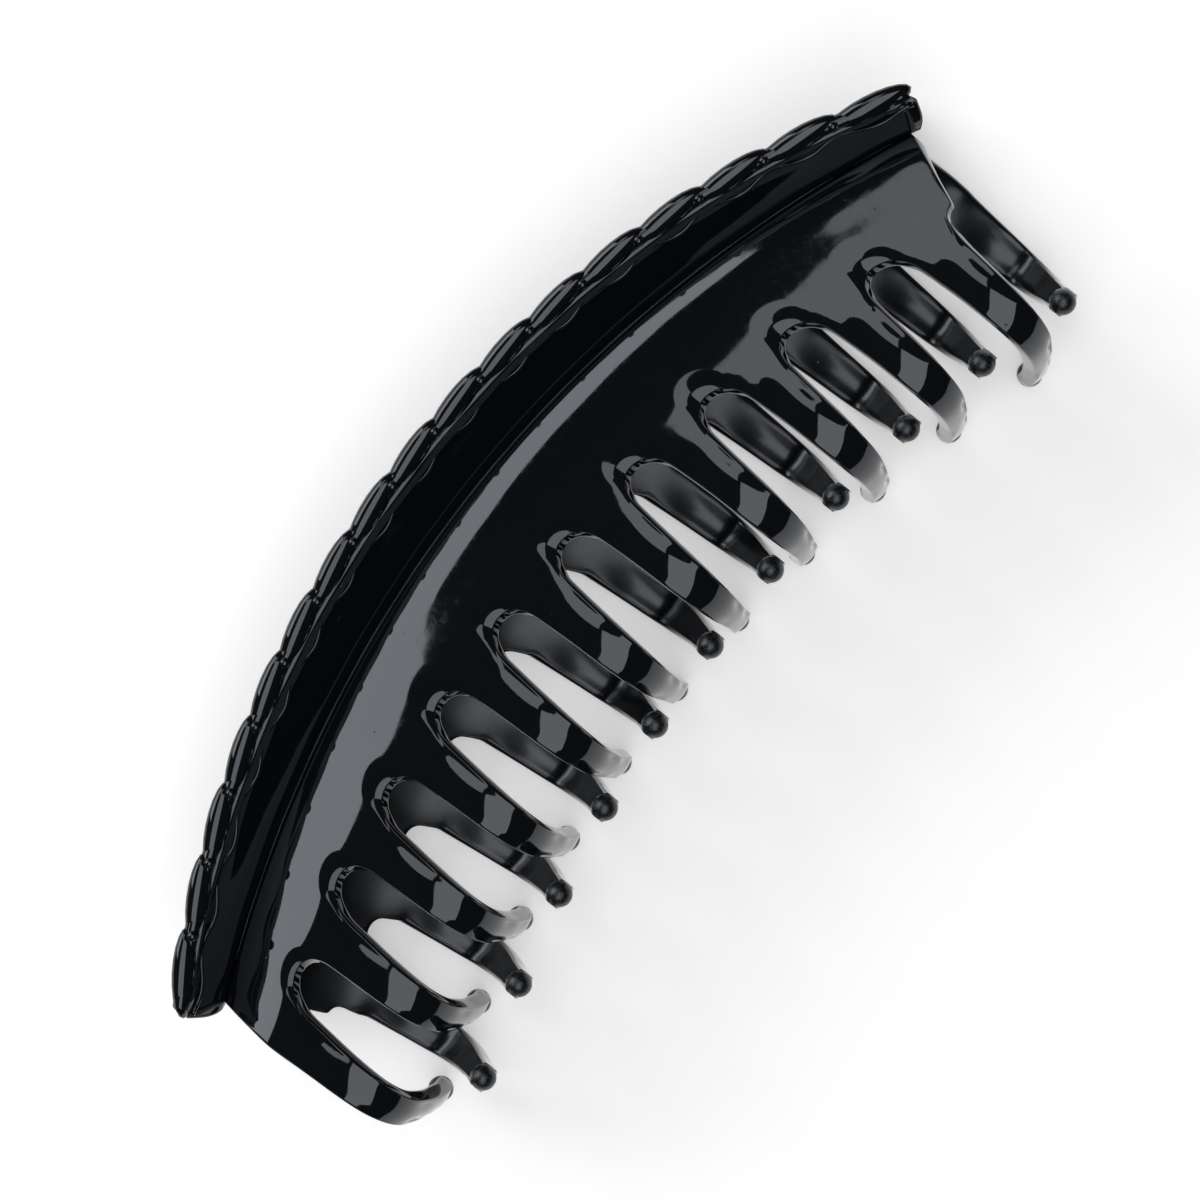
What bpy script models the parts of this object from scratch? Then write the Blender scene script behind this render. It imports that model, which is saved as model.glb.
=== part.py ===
"""Banana hair clip: two equal claw jaws, one turned, on a sprung hinge.

Sizes are in millimetres and are turned into metres where a mesh is finished.
A jaw is described by three measures: x along the clip, w outwards from the
middle plane between the jaws, and v up towards the handles.
"""
import math

import bmesh
import bpy
import numpy as np
from mathutils import Matrix, Vector

MM = 0.001

# Height of the hinge axis over the valley
HINGE_V = 0.5

# Teeth
TOOTH_COUNT = 11
TOOTH_PITCH = 12.0
FIRST_TOOTH_X = 57.0
TOOTH_DEPTH = 3.0
TOOTH_ROOT_HALF = 3.1
TOOTH_NECK_HALF = 1.3
TIP_BALL_RADIUS = 1.65
TIP_NECK_RUN = 3.6
BALL_LEAD = 2.2
TOOTH_ROWS = 7
TOOTH_SKEW = 1.3
TOOTH_LEAN = 0.05
TOOTH_DRAFT = 0.45
TIP_DRAFT = 0.1
KNEE_RUN = 18.2
KNEE_HALF = 2.5
CROSSING_RUN = 42.0
CROSSING_HALF = 1.6
ROOT_DEPTH = 2.5
TIP_DEPTH = 2.5
SLOT_TOP_RUN = 10.2
SLOT_STEPS = 6

# Jaw ends
RIM_HALF_LENGTH = 69.6
BODY_HALF_LENGTH = 66.2
SHOULDER_RUN = 8.9
SHOULDER_TAPER = 0.36

# Wall
WALL = 2.3
EDGE_ROUND = 0.5

# Arch of the jaw: how far each level drops away from its crown
RIM_ARCH = 0.0036
VALLEY_ARCH = 0.0033
TOOTH_ARCH = 0.0028
TIP_ARCH = 0.0025
RIM_END_DROP = 2.0
CROWN_X = -1.0
TOOTH_CROWN_X = -7.5

# Levels of the handle wing: outer w, outer v, inner w, inner v
WING_LEVELS = (
    (13.3, 7.6, 11.9, 8.7),
    (9.4, 3.8, 8.0, 5.0),
    (6.3, 0.6, 4.7, 1.9),
    (5.2, -0.6, 3.5, 0.4),
)

# Outer curve from the band's sharp edge to the tips: w, v
BAND_AND_TOOTH = (
    (7.4, -1.5),
    (9.6, -4.9),
    (11.1, -10.3),
    (13.0, -16.9),
    (14.3, -22.4),
    (13.9, -27.2),
    (10.4, -30.7),
    (4.0, -32.6),
    (-2.5, -33.7),
    (-8.3, -34.3),
    (-12.6, -33.6),
)
BAND_RUNS = (0.0, 4.0, 8.0)
BAND_ROOT = (4.4, -2.3)

# Rope along the rim
ROPE_LOBES = 17
ROPE_STEPS = 3
ROPE_HALF_ACROSS = 1.55
ROPE_HALF_ALONG = 1.9
ROPE_NOTCH = 0.42
ROPE_SIDES = 6

# Hinge
PIN_RADIUS = 1.0
PIN_HEAD_RADIUS = 1.8
PIN_HEAD_LENGTH = 0.8
EAR_BORE_RADIUS = 1.36
EAR_RADIUS = 2.6
EAR_WIDTH = 3.0
EAR_INNER_START = 7.7
GAP = 0.3
EAR_SIDES = 16
EAR_FOOT = ((2.0, 5.0), (-0.5, 4.2), (-3.6, 6.0))

# Spring
WIRE_RADIUS = 0.45
COIL_RADIUS = 1.75
COIL_TURNS = 9
COIL_HALF_LENGTH = 6.3
COIL_STEPS = 10
LEG_LENGTH = 8.0
LEG_ANGLE = 49.0


def clear_scene():
    """Take every object out of the scene."""
    for item in list(bpy.data.objects):
        bpy.data.objects.remove(item, do_unlink=True)


def make_material(name, colour, roughness, metallic):
    """Plain finish of one sub-part."""
    material = bpy.data.materials.new(name)
    material.use_nodes = True
    shader = material.node_tree.nodes["Principled BSDF"]
    shader.inputs["Base Color"].default_value = (*colour, 1.0)
    shader.inputs["Roughness"].default_value = roughness
    shader.inputs["Metallic"].default_value = metallic
    return material


def smooth_curve(points, steps=24):
    """Dense points of a smooth curve through a few points, with its run."""
    given = np.array(points, float)
    ends = np.vstack([2 * given[0] - given[1], given, 2 * given[-1] - given[-2]])
    dense = []
    for index in range(1, len(ends) - 2):
        a, b, c, d = ends[index - 1:index + 3]
        for part in np.linspace(0.0, 1.0, steps, endpoint=False):
            line = 2 * b + (c - a) * part
            bend = (2 * a - 5 * b + 4 * c - d) * part ** 2
            twist = (3 * b - a - 3 * c + d) * part ** 3
            dense.append(0.5 * (line + bend + twist))
    dense.append(ends[-2])
    dense = np.array(dense)
    run = np.concatenate([[0.0], np.cumsum(np.linalg.norm(np.diff(dense, axis=0), axis=1))])
    return dense, run


CURVE, CURVE_RUN = smooth_curve(BAND_AND_TOOTH)
TOOTH_END = CURVE_RUN[-1]


def curve_at(run):
    """Point of the outer curve and the direction into the wall."""
    point = np.array([np.interp(run, CURVE_RUN, CURVE[:, k]) for k in (0, 1)])
    ahead = np.array([np.interp(run + 0.4, CURVE_RUN, CURVE[:, k]) for k in (0, 1)])
    behind = np.array([np.interp(run - 0.4, CURVE_RUN, CURVE[:, k]) for k in (0, 1)])
    along = (ahead - behind) / np.linalg.norm(ahead - behind)
    inward = np.array([along[1], -along[0]])
    return point, inward


def drop(level_share, x):
    """Arch of the wing: share 0 at the rim and 1 at the valley."""
    bend = RIM_ARCH + (VALLEY_ARCH - RIM_ARCH) * level_share
    end = RIM_END_DROP * (1.0 - level_share) * ((x - CROWN_X) / RIM_HALF_LENGTH) ** 4
    return bend * (x - CROWN_X) ** 2 + end


def tooth_drop(run, x):
    """Arch of the band and the teeth at a run along the outer curve."""
    share = min(max(run / SLOT_TOP_RUN, 0.0), 1.0)
    bend = float(np.interp(run, (0.0, SLOT_TOP_RUN, TOOTH_END), (VALLEY_ARCH, TOOTH_ARCH, TIP_ARCH)))
    crown = CROWN_X + (TOOTH_CROWN_X - CROWN_X) * share
    return bend * (x - crown) ** 2


def tooth_half(run):
    """Half width of a tooth's outer face at a run along the outer curve."""
    runs = (SLOT_TOP_RUN, KNEE_RUN, CROSSING_RUN, TOOTH_END - TIP_NECK_RUN)
    halves = (TOOTH_ROOT_HALF, KNEE_HALF, CROSSING_HALF, TOOTH_NECK_HALF)
    return float(np.interp(run, runs, halves))


def tooth_depth(run):
    """Depth of the wall: thin at the band, full on the teeth."""
    runs = (0.0, SLOT_TOP_RUN, KNEE_RUN, TOOTH_END - TIP_NECK_RUN)
    return float(np.interp(run, runs, (WALL, ROOT_DEPTH, TOOTH_DEPTH, TIP_DEPTH)))


def tooth_draft(run):
    """Widening of a tooth from its outer to its inner face."""
    return float(np.interp(run, (KNEE_RUN, CROSSING_RUN), (TOOTH_DRAFT, TIP_DRAFT)))


def columns():
    """Places across one jaw, from the -X end: kind, tooth or slot, place."""
    places = []
    for tooth in reversed(range(TOOTH_COUNT)):
        places.append(("tooth", tooth, -1.0))
        places.append(("tooth", tooth, 1.0))
        if tooth > 0:
            for step in range(1, SLOT_STEPS):
                angle = math.pi * (step / SLOT_STEPS - 0.5)
                places.append(("slot", tooth, angle))
    places.append(("end", 0, 1.0))
    return places


def tooth_x(tooth):
    """Middle of a tooth at its root."""
    return FIRST_TOOTH_X - TOOTH_PITCH * tooth


def flat_x(place, half, draft):
    """Place across the jaw before the teeth lean."""
    kind, tooth, value = place
    if kind == "tooth":
        return tooth_x(tooth) + value * (half + draft)
    if kind == "slot":
        radius = TOOTH_PITCH / 2 - TOOTH_ROOT_HALF - draft
        return tooth_x(tooth) + TOOTH_PITCH / 2 + radius * math.sin(value)
    return BODY_HALF_LENGTH


def wing_point(level, place, inner):
    """Point of the handle wing."""
    levels = len(WING_LEVELS) - 1
    share = level / levels
    stretch = 1.0 + (RIM_HALF_LENGTH / BODY_HALF_LENGTH - 1.0) * (1.0 - share)
    x = flat_x(place, TOOTH_ROOT_HALF, 0.0) * stretch
    outer_w, outer_v, inner_w, inner_v = WING_LEVELS[level]
    w, v = (inner_w, inner_v) if inner else (outer_w, outer_v)
    return Vector((x, v - drop(share, x), w))


def slot_run(place, draft):
    """Run at which the top of a slot lies: a half round over two flanks."""
    kind, _, value = place
    radius = TOOTH_PITCH / 2 - TOOTH_ROOT_HALF
    if kind == "slot":
        return SLOT_TOP_RUN + radius - (radius - draft) * math.cos(value)
    if kind == "end":
        return SHOULDER_RUN
    return SLOT_TOP_RUN + radius


def body_point(run, place, inner, slot_row):
    """Point of the band or of a tooth's flank."""
    depth = tooth_depth(run)
    draft = TOOTH_DRAFT if inner and slot_row else 0.0
    if slot_row:
        run = slot_run(place, draft)
    x = flat_x(place, tooth_half(run), draft)
    if place[0] == "end":
        x -= SHOULDER_TAPER * run
    point, inward = curve_at(run)
    w, v = point + inward * depth if inner else point
    if run == 0.0 and inner:
        w, v = BAND_ROOT
    return Vector((x, v - tooth_drop(run, x), w))


def tooth_rows():
    """Runs, half widths and depths of the rows down a tooth to its ball tip."""
    start = slot_run(("tooth", 0, 1.0), 0.0)
    ball = TOOTH_END - TIP_BALL_RADIUS
    rows = []
    for run in np.linspace(start, ball - BALL_LEAD, TOOTH_ROWS)[1:]:
        rows.append((float(run), tooth_half(run), tooth_depth(run), tooth_draft(run)))
    for degrees in (-45.0, 5.0, 60.0):
        angle = math.radians(degrees)
        half = TIP_BALL_RADIUS * math.cos(angle)
        rows.append((ball + TIP_BALL_RADIUS * math.sin(angle), half * 0.9, half * 2.0, 0.0))
    return rows


def tooth_point(row, place, inner):
    """Point of a tooth below the slot tops."""
    run, half, depth, draft = row
    start = slot_run(("tooth", 0, 1.0), 0.0)
    share = (run - start) / (TOOTH_END - start)
    x = flat_x(place, half, draft if inner else 0.0)
    point, inward = curve_at(run)
    middle = point + inward * (tooth_depth(run) / 2)
    w, v = middle + inward * (depth / 2 if inner else -depth / 2)
    lean = (tooth_x(place[1]) * TOOTH_LEAN + TOOTH_SKEW) * share ** 1.5
    return Vector((x - lean, v - tooth_drop(run, tooth_x(place[1])), w))


def jaw_sheet():
    """One jaw's wall: a slotted grid given its thickness and its curves."""
    places = columns()
    rows = [("wing", level) for level in range(len(WING_LEVELS))]
    rows += [("band", run) for run in BAND_RUNS] + [("slot", SLOT_TOP_RUN)]
    slot_row = len(rows) - 1
    rows += [("tooth", row) for row in tooth_rows()]
    across, down = len(places) - 1, len(rows) - 1
    mesh = bmesh.new()
    bmesh.ops.create_grid(mesh, x_segments=across, y_segments=down, size=0.5)

    def cell(vert):
        return round((vert.co.x + 0.5) * across), round((0.5 - vert.co.y) * down)

    gaps = []
    for face in mesh.faces:
        cells = [cell(vert) for vert in face.verts]
        left = min(column for column, _ in cells)
        top = min(row for _, row in cells)
        on_tooth = places[left][0] == "tooth" and places[left][2] < 0.0
        if top >= slot_row and not on_tooth:
            gaps.append(face)
    bmesh.ops.delete(mesh, geom=gaps, context="FACES")
    outer = {vert: cell(vert) for vert in mesh.verts}
    outer_faces = list(mesh.faces)
    grown = bmesh.ops.extrude_face_region(mesh, geom=outer_faces)
    inner = {vert: cell(vert) for vert in grown["geom"] if isinstance(vert, bmesh.types.BMVert)}
    for group, is_inner in ((outer, False), (inner, True)):
        for vert, (column, row) in group.items():
            kind, value = rows[row]
            place = places[column]
            if kind == "wing":
                vert.co = wing_point(value, place, is_inner)
            elif kind == "tooth":
                vert.co = tooth_point(value, place, is_inner)
            else:
                vert.co = body_point(value, place, is_inner, kind == "slot")
    bmesh.ops.recalc_face_normals(mesh, faces=mesh.faces)
    flanks = []
    for edge in mesh.edges:
        ends = [outer.get(vert) or inner.get(vert) for vert in edge.verts]
        same_side = all(vert in outer for vert in edge.verts) or all(vert in inner for vert in edge.verts)
        below = all(row >= slot_row for _, row in ends)
        steps_down = ends[0][1] != ends[1][1]
        arc = all(row == slot_row for _, row in ends) and places[max(ends)[0]][0] != "tooth"
        arc = arc or all(row == slot_row for _, row in ends) and places[min(ends)[0]][0] == "slot"
        if same_side and below and (steps_down or arc):
            flanks.append(edge)
    bmesh.ops.bevel(mesh, geom=flanks, offset=EDGE_ROUND, offset_type="OFFSET", segments=1,
                    profile=0.5, affect="EDGES", material=-1)
    return finished_object("jaw_wall", mesh)


def finished_object(name, mesh):
    """Object in metres from a mesh in millimetres, normals out."""
    bmesh.ops.recalc_face_normals(mesh, faces=mesh.faces)
    bmesh.ops.transform(mesh, matrix=Matrix.Scale(MM, 4), verts=mesh.verts)
    data = bpy.data.meshes.new(name)
    mesh.to_mesh(data)
    mesh.free()
    item = bpy.data.objects.new(name, data)
    bpy.context.scene.collection.objects.link(item)
    return item


def rope():
    """Scalloped rope along the rim: a loft of rings that swell on each lobe."""
    outer_w, outer_v, inner_w, inner_v = WING_LEVELS[0]
    below_w, below_v = WING_LEVELS[1][:2]
    up = Vector((0.0, outer_v - below_v, outer_w - below_w)).normalized()
    out = Vector((0.0, -up.z, up.y))
    if out.z < 0.0:
        out = -out
    mesh = bmesh.new()
    rings = []
    count = ROPE_LOBES * ROPE_STEPS
    half_length = RIM_HALF_LENGTH - 0.5
    for step in range(count + 1):
        x = half_length * (2.0 * step / count - 1.0)
        phase = (step % ROPE_STEPS) / ROPE_STEPS
        swell = 1.0 - ROPE_NOTCH * (1.0 - math.sin(math.pi * phase)) ** 2 * 0.6
        middle_w = (outer_w + inner_w) / 2
        middle_v = (outer_v + inner_v) / 2 - drop(0.0, x)
        middle = Vector((x, middle_v, middle_w)) + up * 0.2
        ring = []
        for side in range(ROPE_SIDES):
            angle = 2.0 * math.pi * side / ROPE_SIDES
            offset = out * (ROPE_HALF_ACROSS * math.cos(angle)) + up * (ROPE_HALF_ALONG * math.sin(angle))
            ring.append(mesh.verts.new(middle + offset * swell))
        rings.append(ring)
    for ring in rings:
        for side in range(ROPE_SIDES):
            mesh.edges.new((ring[side], ring[(side + 1) % ROPE_SIDES]))
    for first, second in zip(rings[:-1], rings[1:]):
        edges = []
        for ring in (first, second):
            for side in range(ROPE_SIDES):
                edges.append(mesh.edges.get((ring[side], ring[(side + 1) % ROPE_SIDES])))
        bmesh.ops.bridge_loops(mesh, edges=edges)
    mesh.faces.new(rings[0])
    mesh.faces.new(rings[-1])
    return finished_object("rope", mesh)


def ear(start_x):
    """Hinge ear: a round eye on a foot that runs into the wall."""
    foot = [Vector((0, v, w)) for v, w in EAR_FOOT]
    eye = []
    for step in range(EAR_SIDES // 2 + 1):
        angle = math.pi * (1.0 + step / (EAR_SIDES // 2)) + math.radians(12.0)
        eye.append(Vector((0, HINGE_V + EAR_RADIUS * math.cos(angle), EAR_RADIUS * math.sin(angle))))
    mesh = bmesh.new()
    outline = [mesh.verts.new(point) for point in eye + foot]
    face = mesh.faces.new(outline)
    grown = bmesh.ops.extrude_face_region(mesh, geom=[face])
    moved = [item for item in grown["geom"] if isinstance(item, bmesh.types.BMVert)]
    bmesh.ops.translate(mesh, verts=moved, vec=(EAR_WIDTH, 0, 0))
    bmesh.ops.translate(mesh, verts=mesh.verts, vec=(start_x, 0, 0))
    return finished_object("ear", mesh)


def cylinder_along_x(name, radius, length, middle, sides):
    """Plain round bar along the hinge, in place."""
    mesh = bmesh.new()
    bmesh.ops.create_cone(mesh, cap_ends=True, segments=sides, radius1=radius, radius2=radius, depth=length)
    bmesh.ops.rotate(mesh, verts=mesh.verts, matrix=Matrix.Rotation(math.pi / 2, 3, "Y"))
    bmesh.ops.translate(mesh, verts=mesh.verts, vec=middle)
    return finished_object(name, mesh)


def combine(target, other, operation):
    """Join or cut two closed shapes and keep the first."""
    modifier = target.modifiers.new(other.name, "BOOLEAN")
    modifier.operation = operation
    modifier.object = other
    modifier.solver = "EXACT"
    graph = bpy.context.evaluated_depsgraph_get()
    data = bpy.data.meshes.new_from_object(target.evaluated_get(graph))
    target.modifiers.clear()
    target.data = data
    bpy.data.objects.remove(other, do_unlink=True)


def jaw_mesh():
    """Whole jaw in one body: wall with teeth, rope and two hinge ears."""
    wall = jaw_sheet()
    combine(wall, rope(), "UNION")
    inner_ear = -(EAR_INNER_START + EAR_WIDTH)
    outer_ear = EAR_INNER_START + EAR_WIDTH + GAP
    for start in (inner_ear, outer_ear):
        combine(wall, ear(start), "UNION")
    bore = cylinder_along_x("bore", EAR_BORE_RADIUS, 40.0, (0, HINGE_V, 0), EAR_SIDES)
    combine(wall, bore, "DIFFERENCE")
    mesh = bmesh.new()
    mesh.from_mesh(wall.data)
    bmesh.ops.remove_doubles(mesh, verts=mesh.verts, dist=2e-6)
    bmesh.ops.translate(mesh, verts=mesh.verts, vec=(0, -HINGE_V * MM, 0))
    data = bpy.data.meshes.new("jaw")
    mesh.to_mesh(data)
    mesh.free()
    bpy.data.objects.remove(wall, do_unlink=True)
    data.shade_smooth()
    data.set_sharp_from_angle(angle=math.radians(38.0))
    return data


def place_on_hinge(item, hinge):
    """Hang an object on the hinge's empty."""
    item.parent = hinge
    return item


def hinge_pin():
    """Steel pin with a flat head at each end, turned about the hinge."""
    shaft_half = EAR_INNER_START + 2 * EAR_WIDTH + 2 * GAP
    end = shaft_half + PIN_HEAD_LENGTH
    outline = ((-end, 0.0), (-end, PIN_HEAD_RADIUS), (-shaft_half, PIN_HEAD_RADIUS),
               (-shaft_half, PIN_RADIUS), (shaft_half, PIN_RADIUS), (shaft_half, PIN_HEAD_RADIUS),
               (end, PIN_HEAD_RADIUS), (end, 0.0))
    mesh = bmesh.new()
    line = [mesh.verts.new((x, radius, 0.0)) for x, radius in outline]
    edges = [mesh.edges.new(pair) for pair in zip(line[:-1], line[1:])]
    bmesh.ops.spin(mesh, geom=line + edges, cent=(0, 0, 0), axis=(1, 0, 0), angle=2 * math.pi,
                   steps=EAR_SIDES, use_merge=True)
    bmesh.ops.remove_doubles(mesh, verts=mesh.verts, dist=1e-4)
    return finished_object("hinge_pin", mesh)


def torsion_spring():
    """Steel wire spring: a coil round the pin and a leg along each wing."""
    angle = math.radians(LEG_ANGLE)
    first = -math.pi / 2 - (math.pi / 2 - angle)
    last = -math.pi / 2 + (math.pi / 2 - angle) + 2 * math.pi * COIL_TURNS
    steps = COIL_TURNS * COIL_STEPS + 3
    path = []
    for step in range(steps + 1):
        share = step / steps
        turn = first + (last - first) * share
        x = COIL_HALF_LENGTH * (2 * share - 1)
        path.append(Vector((x, COIL_RADIUS * math.sin(turn), COIL_RADIUS * math.cos(turn))))
    lower = Vector((0, math.sin(angle), -math.cos(angle))) * LEG_LENGTH
    upper = Vector((0, math.sin(angle), math.cos(angle))) * LEG_LENGTH
    path = [path[0] + lower] + path + [path[-1] + upper]
    curve = bpy.data.curves.new("torsion_spring", "CURVE")
    curve.dimensions = "3D"
    curve.bevel_depth = WIRE_RADIUS * MM
    curve.bevel_resolution = 1
    curve.use_fill_caps = True
    spline = curve.splines.new("POLY")
    spline.points.add(len(path) - 1)
    for point, place in zip(spline.points, path):
        point.co = (*(place * MM), 1.0)
    item = bpy.data.objects.new("torsion_spring", curve)
    bpy.context.scene.collection.objects.link(item)
    return item


def main():
    """Build the clip lying on its lower jaw, shut, with its middle over the origin."""
    clear_scene()
    plastic = make_material("black_plastic", (0.012, 0.012, 0.014), 0.12, 0.0)
    steel = make_material("spring_steel", (0.56, 0.57, 0.58), 0.3, 1.0)
    data = jaw_mesh()
    hinge = bpy.data.objects.new("hinge_axis", None)
    bpy.context.scene.collection.objects.link(hinge)
    reach = [vert.co.y for vert in data.vertices]
    half_thickness = max(vert.co.z for vert in data.vertices)
    hinge.location = (0, -(min(reach) + max(reach)) / 2, half_thickness)
    data.materials.append(plastic)
    for name, turn in (("upper_jaw", 0.0), ("lower_jaw", math.pi)):
        jaw = bpy.data.objects.new(name, data)
        bpy.context.scene.collection.objects.link(jaw)
        jaw.rotation_euler = (0, turn, 0)
        place_on_hinge(jaw, hinge)
    for item in (hinge_pin(), torsion_spring()):
        item.data.materials.append(steel)
        place_on_hinge(item, hinge)


main()
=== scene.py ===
"""Studio view of a banana hair clip: two glossy moulded jaws on a sprung hinge.

A jaw is described in millimetres by three measures: x along the clip, w outwards
from the middle plane between the jaws, and v up towards the grip edges.
"""

import logging
import math
from collections.abc import Callable
from dataclasses import dataclass, field
from enum import Enum
from typing import NamedTuple

import bmesh
import bpy
import numpy as np
from mathutils import Euler, Matrix, Vector


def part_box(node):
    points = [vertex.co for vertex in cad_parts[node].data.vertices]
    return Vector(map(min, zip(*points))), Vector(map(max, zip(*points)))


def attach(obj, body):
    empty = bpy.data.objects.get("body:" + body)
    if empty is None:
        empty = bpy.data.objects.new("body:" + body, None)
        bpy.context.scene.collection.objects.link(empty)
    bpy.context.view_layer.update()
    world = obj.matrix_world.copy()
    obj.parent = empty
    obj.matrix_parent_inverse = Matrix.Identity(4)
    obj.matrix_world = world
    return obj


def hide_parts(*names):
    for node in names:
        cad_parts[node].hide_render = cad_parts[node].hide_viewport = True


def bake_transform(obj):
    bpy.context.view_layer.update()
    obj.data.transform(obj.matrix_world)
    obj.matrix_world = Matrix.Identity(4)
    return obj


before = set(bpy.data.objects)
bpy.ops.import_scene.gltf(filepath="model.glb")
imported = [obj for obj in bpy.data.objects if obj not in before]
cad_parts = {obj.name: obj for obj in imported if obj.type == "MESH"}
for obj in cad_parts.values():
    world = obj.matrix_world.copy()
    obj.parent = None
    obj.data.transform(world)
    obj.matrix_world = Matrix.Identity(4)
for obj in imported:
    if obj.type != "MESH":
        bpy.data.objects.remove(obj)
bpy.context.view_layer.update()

MM = 0.001
LOG = logging.getLogger("hair_clip")
Pairs = tuple[tuple[float, float], ...]
Cells = dict[bmesh.types.BMVert, tuple[int, int]]
Tint = tuple[float, float, float]


class Side(Enum):
    """The two jaws, named after the body each one rides on."""

    UPPER = "upper"
    LOWER = "lower"


class Row(Enum):
    """What a row of the jaw's grid belongs to."""

    WING = "wing"
    BAND = "band"
    SLOT = "slot"
    TOOTH = "tooth"


class Finish(Enum):
    """The jaw's material slots."""

    OUTER = 0
    TIP = 1
    INNER = 2


class Column(Enum):
    """What a column of the jaw's grid belongs to."""

    TOOTH = "tooth"
    SLOT = "slot"
    END = "end"


class Place(NamedTuple):
    """A column of the jaw's grid: its kind, its tooth, and where it lies across that."""

    kind: Column
    tooth: int
    value: float


class Level(NamedTuple):
    """A row of the jaw's grid: its kind, its level or run, and how far it follows the slot tops."""

    kind: Row
    value: float
    blend: float


def smooth_curve(points: Pairs, steps: int = 30) -> tuple[np.ndarray, np.ndarray]:
    """Run a smooth curve through a few points.

    Args:
        points: The points as pairs.
        steps: Dense points in each stretch.

    Returns:
        The dense points and the run to each of them.
    """
    given = np.array(points, float)
    ends = np.vstack([2 * given[0] - given[1], given, 2 * given[-1] - given[-2]])
    dense = []
    for index in range(1, len(ends) - 2):
        a, b, c, d = ends[index - 1:index + 3]
        for part in np.linspace(0.0, 1.0, steps, endpoint=False):
            line = 2 * b + (c - a) * part
            bend = (2 * a - 5 * b + 4 * c - d) * part ** 2
            twist = (3 * b - a - 3 * c + d) * part ** 3
            dense.append(0.5 * (line + bend + twist))
    dense.append(ends[-2])
    path = np.array(dense)
    run = np.concatenate([[0.0], np.cumsum(np.linalg.norm(np.diff(path, axis=0), axis=1))])
    return path, run


def ramp(value: float, start: float, end: float) -> float:
    """Smooth step from 0 at start to 1 at end."""
    share = min(max((value - start) / (end - start), 0.0), 1.0)
    return share * share * (3.0 - 2.0 * share)


def add_object(name: str, data: bpy.types.ID) -> bpy.types.Object:
    """Link a new object to the scene.

    Args:
        name: Name of the object.
        data: Its mesh, light or camera.

    Returns:
        The object.
    """
    item = bpy.data.objects.new(name, data)
    bpy.context.scene.collection.objects.link(item)
    return item


def new_object(name: str, mesh: bmesh.types.BMesh) -> bpy.types.Object:
    """Turn a bmesh in millimetres into an object in metres.

    Args:
        name: Name of the object and its mesh.
        mesh: The bmesh, which is freed.

    Returns:
        The object, linked to the scene, smooth shaded, with its normals out.
    """
    bmesh.ops.recalc_face_normals(mesh, faces=mesh.faces)
    bmesh.ops.transform(mesh, matrix=Matrix.Scale(MM, 4), verts=mesh.verts)
    data = bpy.data.meshes.new(name)
    mesh.to_mesh(data)
    mesh.free()
    data.shade_smooth()
    return add_object(name, data)


def applied(item: bpy.types.Object) -> bpy.types.Object:
    """Turn an object's modifiers into its mesh.

    Args:
        item: The object, which is changed.

    Returns:
        The same object.
    """
    graph = bpy.context.evaluated_depsgraph_get()
    data = bpy.data.meshes.new_from_object(item.evaluated_get(graph))
    item.modifiers.clear()
    item.data = data
    return item


def add_tube(mesh: bmesh.types.BMesh, rings: int, sides: int, place: Callable[[float, float], Vector]) -> None:
    """Add a round bar with closed ends to a bmesh.

    Args:
        mesh: The bmesh.
        rings: Steps along the bar.
        sides: Steps round it.
        place: Gives the point at a share of the bar, from -0.5 to 0.5, and an angle round it.
    """
    made = bmesh.ops.create_grid(mesh, x_segments=rings, y_segments=sides, size=0.5)["verts"]
    for vert in made:
        vert.co = place(vert.co.x, 2 * math.pi * vert.co.y)
    bmesh.ops.remove_doubles(mesh, verts=made, dist=0.001)
    ends = [edge for edge in mesh.edges if edge.is_boundary]
    bmesh.ops.holes_fill(mesh, edges=ends, sides=0)


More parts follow.
